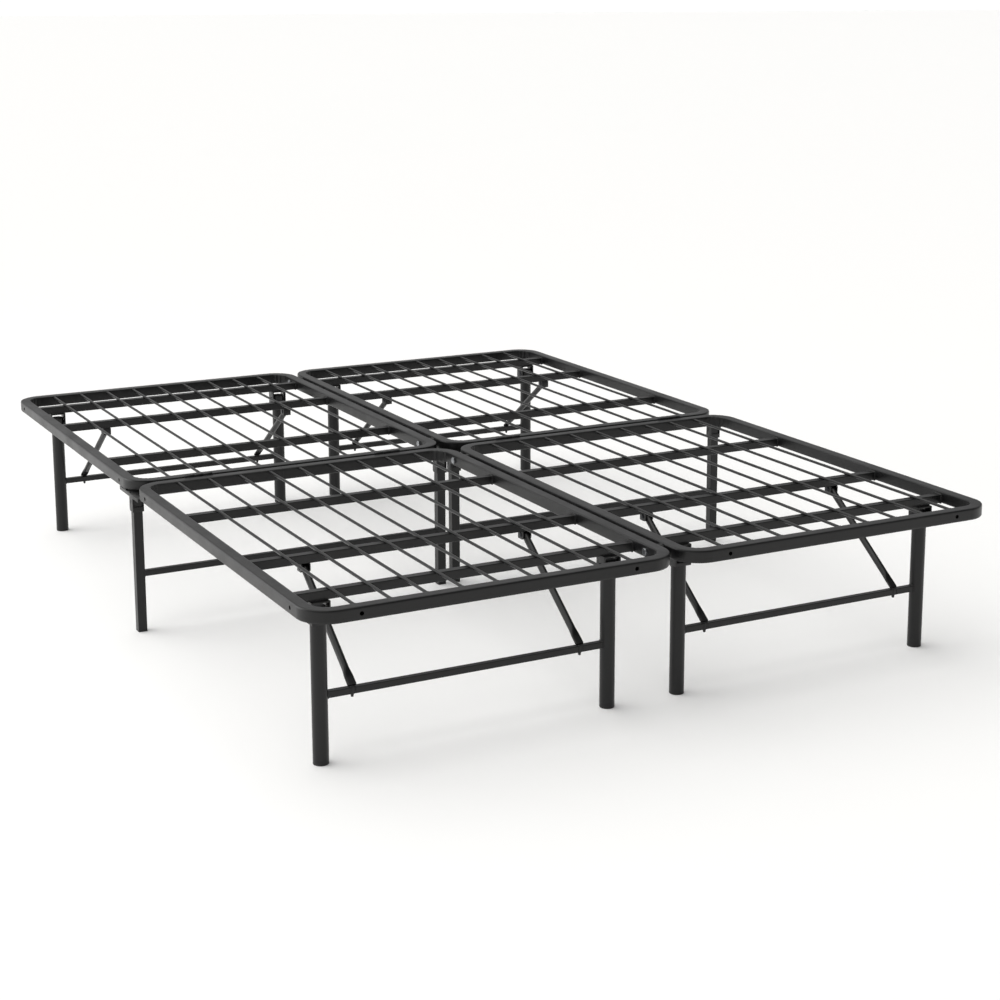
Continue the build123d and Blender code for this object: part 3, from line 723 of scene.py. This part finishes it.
def spacerGrid(low, high):
    # Moulded ring with rounded edges and a shallow groove round its middle
    radius, width, edge = (high[1] - low[1]) / 2, high[0] - low[0], bolt["spacerEdge"]
    bore, groove = bolt["shankRadius"] + bolt["spacerPlay"], bolt["spacerGroove"]
    boreEdge, (grooveStart, grooveFloor) = bolt["spacerBoreEdge"], bolt["spacerGroovePlace"]
    half = [(0, bore + boreEdge), (0, radius - edge), (edgeCut * edge, radius - edgeCut * edge),
            (edge, radius), (grooveStart * width, radius), (grooveFloor * width, radius - groove)]
    profile = half + [(width - along, reach) for along, reach in half[::-1]]
    profile += [(width - boreEdge, bore), (boreEdge, bore)]
    grid, _, closed = turned((low[0], (low[1] + high[1]) / 2, (low[2] + high[2]) / 2), (1, 0, 0),
                             profile, bolt["steps"])
    return grid, True, closed


for row in rows:
    for kind, makeGrid, finish, slotName in (("joining_bolts", boltGrid, brightZinc, "bolt_steel"),
                                             ("joining_nuts", nutGrid, brightZinc, "bolt_steel"),
                                             ("spacers", spacerGrid, footPlastic, "spacer_plastic")):
        node = f"{row}_{kind}"
        addPiece(pieceName(node) + "Turned", [makeGrid(low, high) for low, high in solids(node)],
                 finish, bodyOf(node), (node,), 30)
print("fasteners made")


# Brackets and hinge leaves: pressed plate, with its sheared edges rounded

pressed = {
    "edge": {"brackets": 0.55 * mm, "leaves": 0.4 * mm},
    "segments": 2,
    "flatAngle": 1.0,  # degrees; faces nearer than this to one plane are one face
    "sharpAngle": 35.0,  # degrees; edges that turn by more are rounded
    "mergeDistance": 0.005 * mm,
    "creaseAngle": 50,
    "flatArea": 30 * mm ** 2,  # faces above this are shaded flat, so that the rolled edges stay crisp
}


def pressedCopy(node, edgeRadius):
    # The node's own surface, merged, with every sharp edge rolled over to a small radius
    work = bmesh.new()
    work.from_mesh(frame["nodes"][node].data)
    bmesh.ops.remove_doubles(work, verts=work.verts, dist=pressed["mergeDistance"])
    bmesh.ops.dissolve_limit(work, angle_limit=math.radians(pressed["flatAngle"]), verts=work.verts,
                             edges=work.edges)
    sharp = [edge for edge in work.edges
             if edge.calc_face_angle(0) > math.radians(pressed["sharpAngle"])]
    bmesh.ops.bevel(work, geom=sharp, offset=edgeRadius, offset_type="OFFSET",
                    segments=pressed["segments"], profile=0.5, affect="EDGES", clamp_overlap=True)
    for face in work.faces:
        face.smooth = face.calc_area() < pressed["flatArea"]
    mesh = bpy.data.meshes.new(pieceName(node))
    work.to_mesh(mesh)
    work.free()
    mesh.set_sharp_from_angle(angle=math.radians(pressed["creaseAngle"]))
    return mesh


for node in (*(f"{row}_{kind}" for row in rows for kind in ("leg_brackets", "brace_brackets",
                                                            "hinge_leaves")), "mid_leg_brackets"):
    piece = bpy.data.objects.new(pieceName(node) + "Pressed",
                                 pressedCopy(node, pressed["edge"][node.split("_")[-1]]))
    placePiece(piece, powderCoat, bodyOf(node), (node,))
print("brackets made")


# Leg caps: moulded plugs, round on the end legs and square on the middle legs

cap = {
    "plugWall": 1.3 * mm,  # wall of the tube round the plug
    "footRecess": 1.6 * mm,  # hollow under the foot
    "ring": 0.55,  # radius of the hollow, as a share of the foot's
    "edge": 1.5 * mm,
    "lip": 0.35 * mm,  # the flange's bevel where it meets the tube
    "flange": {"round": 4.0 * mm, "square": 3.0 * mm},
    "headFlange": {"round": 3.0 * mm, "square": 2.0 * mm},
    "squareCorner": 1.5 * mm,
    "crownStep": 0.6 * mm,
    "crownInset": 2.5 * mm,
    "steps": 56,
}


def footProfile(radius, flange, top):
    # Hollow, bearing ring, rounded edge, flange, then the plug inside the tube
    edge, lip, inner = cap["edge"], cap["lip"], radius - cap["plugWall"]
    hollow, depth = radius * cap["ring"], cap["footRecess"]
    return [(depth, 0), (depth, hollow - 1.2 * mm), (0.5 * depth, hollow - 0.3 * mm), (0, hollow),
            (0, radius - edge), (0.08 * edge, radius - 0.62 * edge), (0.3 * edge, radius - 0.3 * edge),
            (0.62 * edge, radius - 0.08 * edge), (edge, radius), (flange - lip, radius),
            (flange, radius - lip), (flange, inner), (top, inner - 0.3 * mm), (top, 0)]


def headProfile(radius, flange, bottom, top):
    # Plug inside the tube, flange, then a low crown
    lip, inner = cap["lip"], radius - cap["plugWall"]
    crown = np.linspace(0, math.pi / 2, 6)
    base = top - flange
    profile = [(bottom, 0), (bottom, inner), (base, inner), (base, radius - lip), (base + lip, radius)]
    rise = flange - lip - cap["crownStep"]
    profile.append((base + lip + cap["crownStep"], radius))
    profile += [(top - rise * (1 - math.sin(a)), radius - cap["crownInset"] * (1 - math.cos(a)))
                for a in crown[1:]]
    return profile + [(top, 0)]


for row in (*rows, "mid"):
    shape = "square" if row == "mid" else "round"
    for side in sides:
        node, grids = f"{row}_{side}_leg_caps", []
        for low, high in solids(node):
            middle, radius = (low + high) / 2, (high[0] - low[0]) / 2
            if low[2] < 1 * mm:
                profile = footProfile(radius, cap["flange"][shape], high[2])
            else:
                profile = headProfile(radius, cap["headFlange"][shape], low[2], high[2])
            if shape == "round":
                grids.append(turned((middle[0], middle[1], 0), (0, 0, 1), profile, cap["steps"]))
            else:
                corner = cap["squareCorner"]
                grids.append(stacked((middle[0], middle[1], 0), [
                    (height, reach, reach, min(corner, reach)) for height, reach in profile]))
        addPiece(pieceName(node) + "Moulded", grids, footPlastic, bodyOf(node), (node,))
print("leg caps made")


# Welds

welding = {
    "tubeBead": 1.7 * mm,  # radius of the bead round the end of a cross tube
    "barBead": 1.4 * mm,
    "bracketBead": 1.3 * mm,
    "hingeBead": 1.1 * mm,
    "stitches": (25 * mm, 52 * mm, 78 * mm),  # middles, from the middle of the bed
    "stitchHalf": 7 * mm,
    "edge": 1.2 * mm,  # rounding of the welded tubes
    "endInset": 0.3 * mm,  # of the bead, from the end of the welded tube
    "wireInset": 0.2 * mm,
    "nuggetRise": 0.2 * mm,
    "leafBead": (1 * mm, 13 * mm),  # from the lower edge of a hinge leaf
    "stitchInset": 1.6 * mm,
    "stitchRise": 0.4 * mm,
    "wireRing": 1.1 * mm,
    "nugget": (4.1 * mm, 6.5 * mm, 1.3 * mm),  # half sizes of a flattened spot weld
}


def loopAcross(x, y, z, half):
    # Outline of a square tube that runs across the bed, drawn in its end plane
    outline = roundedOutline(half, half, welding["edge"], 4)
    return np.stack([np.full(len(outline), x), y + outline[:, 0], z + outline[:, 1]], axis=-1)


def nuggetGrid(centre, halfSizes):
    # Ellipsoid: half sizes x (sin a cos t, sin a sin t, cos a)
    a = np.linspace(0, math.pi, 6)[:, None]
    t = (np.arange(8) * turn / 8)[None, :]
    grid = np.stack([np.sin(a) * np.cos(t), np.sin(a) * np.sin(t), np.cos(a) + 0 * t], axis=-1)
    return np.array(centre) + grid * np.array(halfSizes), False, True


def ringGrid(centre, radius, thickness):
    # Ring of weld round a wire that runs along the bed
    t, a = (np.arange(10) * turn / 10)[:, None], (np.arange(5) * turn / 5)[None, :]
    reach = radius + thickness * np.cos(a)
    grid = np.stack([reach * np.cos(t), thickness * np.sin(a) + 0 * t, reach * np.sin(t)], axis=-1)
    return np.array(centre) + grid, True, True


for row, end in rows.items():
    for side in sides:
        tubes = solids(f"{row}_{side}_cross_tubes")
        ends, spots = [], []
        for low, high in tubes:
            middle, half = (low + high) / 2, (high[2] - low[2]) / 2
            for x, inward in ((low[0], 1), (high[0], -1)):
                beadX = x + inward * welding["endInset"]
                ends.append(weldBead(loopAcross(beadX, middle[1], middle[2], half), welding["tubeBead"]))
        for low, high in solids(f"{row}_{side}_deck_wires"):
            wire, radius = (low + high) / 2, (high[0] - low[0]) / 2
            for y in (low[1] + welding["wireInset"], high[1] - welding["wireInset"]):
                spots.append(ringGrid((wire[0], y, wire[2]), radius, welding["wireRing"]))
            for tubeLow, tubeHigh in tubes:
                spot = (wire[0], (tubeLow[1] + tubeHigh[1]) / 2, tubeHigh[2] + welding["nuggetRise"])
                spots.append(nuggetGrid(spot, welding["nugget"]))
        addPiece(f"{row}{side.capitalize()}TubeWelds", ends, powderCoat, f"{row}_deck")
        addPiece(f"{row}{side.capitalize()}WireWelds", spots, wireCoat, f"{row}_deck")

        # Cross bar: the bead follows the line where the bar's outline meets the round leg
        node, beads = f"{row}_{side}_cross_bar", []
        barLow, barHigh = (np.array(corner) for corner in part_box(node))
        middle, half = (barLow + barHigh) / 2, (barHigh[2] - barLow[2]) / 2
        for low, high in solids(f"{row}_{side}_legs"):
            centre, radius = (low + high) / 2, (high[0] - low[0]) / 2
            inward = np.sign(middle[0] - centre[0])
            path = resampled(loopAcross(0, middle[1], middle[2], half), 1 * mm)
            path[:, 0] = centre[0] + inward * np.sqrt(radius ** 2 - (path[:, 1] - centre[1]) ** 2)
            beads.append(weldBead(path, welding["barBead"]))
        addPiece(f"{row}{side.capitalize()}BarWelds", beads, powderCoat, bodyOf(node))

    # Brackets under the cross tubes
    tubes = [box for side in sides for box in solids(f"{row}_{side}_cross_tubes")]
    beads = []
    for kind, bothSides in (("leg", True), ("brace", False)):
        for low, high in solids(f"{row}_{kind}_brackets"):
            middle = (low + high) / 2
            tubeLow, tubeHigh = min(tubes, key=lambda tube: abs(tube[0][1] + tube[1][1] - 2 * middle[1]))
            for y, way in ((tubeLow[1], -1), (tubeHigh[1], 1)):
                if bothSides or way == -end:
                    beads.append(weldBead([(low[0], y, high[2]), (high[0], y, high[2])],
                                          welding["bracketBead"], closed=False))
    # Hinge leaves on the end rails
    for low, high in solids(f"{row}_hinge_leaves"):
        railY = low[1] if abs(low[1]) > abs(high[1]) else high[1]
        for x in (low[0], high[0]):
            beads.append(weldBead([(x, railY, low[2] + height) for height in welding["leafBead"]],
                                  welding["hingeBead"], closed=False))
    addPiece(f"{row}BracketWelds", beads, powderCoat, f"{row}_deck")

# Stitches along the middle brackets, and the middle cross bars
beads = []
for low, high in solids("mid_leg_brackets"):
    for x, inward in ((low[0], 1), (high[0], -1)):
        for y in welding["stitches"]:
            line = [(x + inward * welding["stitchInset"], y + way * welding["stitchHalf"],
                     high[2] + welding["stitchRise"]) for way in (-1, 1)]
            beads.append(weldBead(line, welding["bracketBead"], closed=False))
addPiece("midBracketWelds", beads, powderCoat, bodyOf("mid_leg_brackets"))
for side in sides:
    node = f"mid_{side}_cross_bar"
    low, high = (np.array(corner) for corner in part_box(node))
    middle, half = (low + high) / 2, (high[2] - low[2]) / 2
    addPiece(f"mid{side.capitalize()}BarWelds",
             [weldBead(loopAcross(x, middle[1], middle[2], half), welding["barBead"])
              for x in (low[0] + welding["endInset"], high[0] - welding["endInset"])],
             powderCoat, bodyOf(node))
print("welds made")


# Camera, lights and floor

camera = {
    "place": (-1.9147, -3.9448, 1.3735),
    "turnedRight": 28.2172,  # degrees from looking along the bed
    "lookingDown": 11.5546,
    "lens": 69.70,
    "shift": (-0.025, -0.115),
}
light = {
    "sunColour": "#fffefb", "sunStrength": 2.3, "sunAngle": 80, "sunFrom": (-0.7, 0.4, 1.6),
    "leftSize": (3.0, 1.4), "leftPlace": (-3.6, 1.6, 0.9), "leftAim": (-0.4, -0.3, 0.25), "leftPower": 38,
    "backdrop": "#ffffff", "backdropStrength": 1.05,
    "roomFront": 0.16, "roomBack": 0.56,  # strength of the room's light from each direction
    "brightFrom": (-0.62, 0.78, 0.1),
    "roomRange": (-0.7, 0.8),  # cosines between which the room goes from dark to bright
    "floor": "#f4f4f4", "floorGlow": 0.10, "floorSize": 200.0, "floorRoughness": 0.85,
}


def softLight(name, kind):
    data = bpy.data.lights.new(name, "AREA")
    data.shape = "RECTANGLE"
    data.size, data.size_y = light[kind + "Size"]
    data.energy = light[kind + "Power"]
    lamp = bpy.data.objects.new(name, data)
    bpy.context.scene.collection.objects.link(lamp)
    lamp.location = light[kind + "Place"]
    aim = Vector(light[kind + "Aim"]) - lamp.location
    lamp.rotation_euler = aim.to_track_quat("-Z", "Y").to_euler()


softLight("leftSoftbox", "left")
sunData = bpy.data.lights.new("overheadSky", "SUN")
sunData.energy, sunData.angle = light["sunStrength"], math.radians(light["sunAngle"])
sunData.color = linear(light["sunColour"])[:3]
sun = bpy.data.objects.new("overheadSky", sunData)
bpy.context.scene.collection.objects.link(sun)
sun.rotation_euler = (-Vector(light["sunFrom"])).to_track_quat("-Z", "Y").to_euler()

# A white cyclorama behind, with the room darker on the side that the bed's foot faces
world = bpy.data.worlds.new("studio")
bpy.context.scene.world = world
world.use_nodes = True
worldTree = world.node_tree
worldTree.nodes.clear()
direction = addNode(worldTree, "ShaderNodeTexCoord").outputs["Generated"]
bright = Vector(light["brightFrom"]).normalized()
facing = addNode(worldTree, "ShaderNodeVectorMath", {0: direction, 1: tuple(bright)},
                 operation="DOT_PRODUCT")
roomStrength = addNode(worldTree, "ShaderNodeMapRange", {
    "Value": facing.outputs["Value"],
    "From Min": light["roomRange"][0], "From Max": light["roomRange"][1],
    "To Min": light["roomFront"], "To Max": light["roomBack"]}, interpolation_type="SMOOTHSTEP")
room = addNode(worldTree, "ShaderNodeBackground", {"Color": linear(light["backdrop"]),
                                                   "Strength": roomStrength.outputs["Result"]})
backdrop = addNode(worldTree, "ShaderNodeBackground", {"Color": linear(light["backdrop"]),
                                                       "Strength": light["backdropStrength"]})
seen = addNode(worldTree, "ShaderNodeLightPath").outputs["Is Camera Ray"]
mixed = addNode(worldTree, "ShaderNodeMixShader", {0: seen, 1: room.outputs["Background"],
                                                   2: backdrop.outputs["Background"]})
addNode(worldTree, "ShaderNodeOutputWorld", {"Surface": mixed.outputs["Shader"]})
bpy.context.scene.view_settings.view_transform = "Standard"

floorMesh = bpy.data.meshes.new("floor")
reach = light["floorSize"] / 2
floorMesh.from_pydata([(-reach, -reach, 0), (reach, -reach, 0), (reach, reach, 0), (-reach, reach, 0)],
                      [], [(0, 1, 2, 3)])
floor = bpy.data.objects.new("floor", floorMesh)
bpy.context.scene.collection.objects.link(floor)
floorPaint, floorTree = newTree("studioFloor")
floorShader = addNode(floorTree, "ShaderNodeBsdfPrincipled", {
    "Base Color": linear(light["floor"]), "Roughness": light["floorRoughness"],
    "Emission Color": linear(light["floor"]), "Emission Strength": light["floorGlow"]})
addNode(floorTree, "ShaderNodeOutputMaterial", {"Surface": floorShader.outputs["BSDF"]})
floorMesh.materials.append(floorPaint)

cameraData = bpy.data.cameras.new("camera")
cameraData.lens = camera["lens"]
cameraData.shift_x, cameraData.shift_y = camera["shift"]
cameraObject = bpy.data.objects.new("camera", cameraData)
bpy.context.scene.collection.objects.link(cameraObject)
cameraObject.location = camera["place"]
cameraObject.rotation_euler = (math.radians(90 - camera["lookingDown"]), 0,
                               -math.radians(camera["turnedRight"]))
bpy.context.scene.camera = cameraObject
print("studio made")
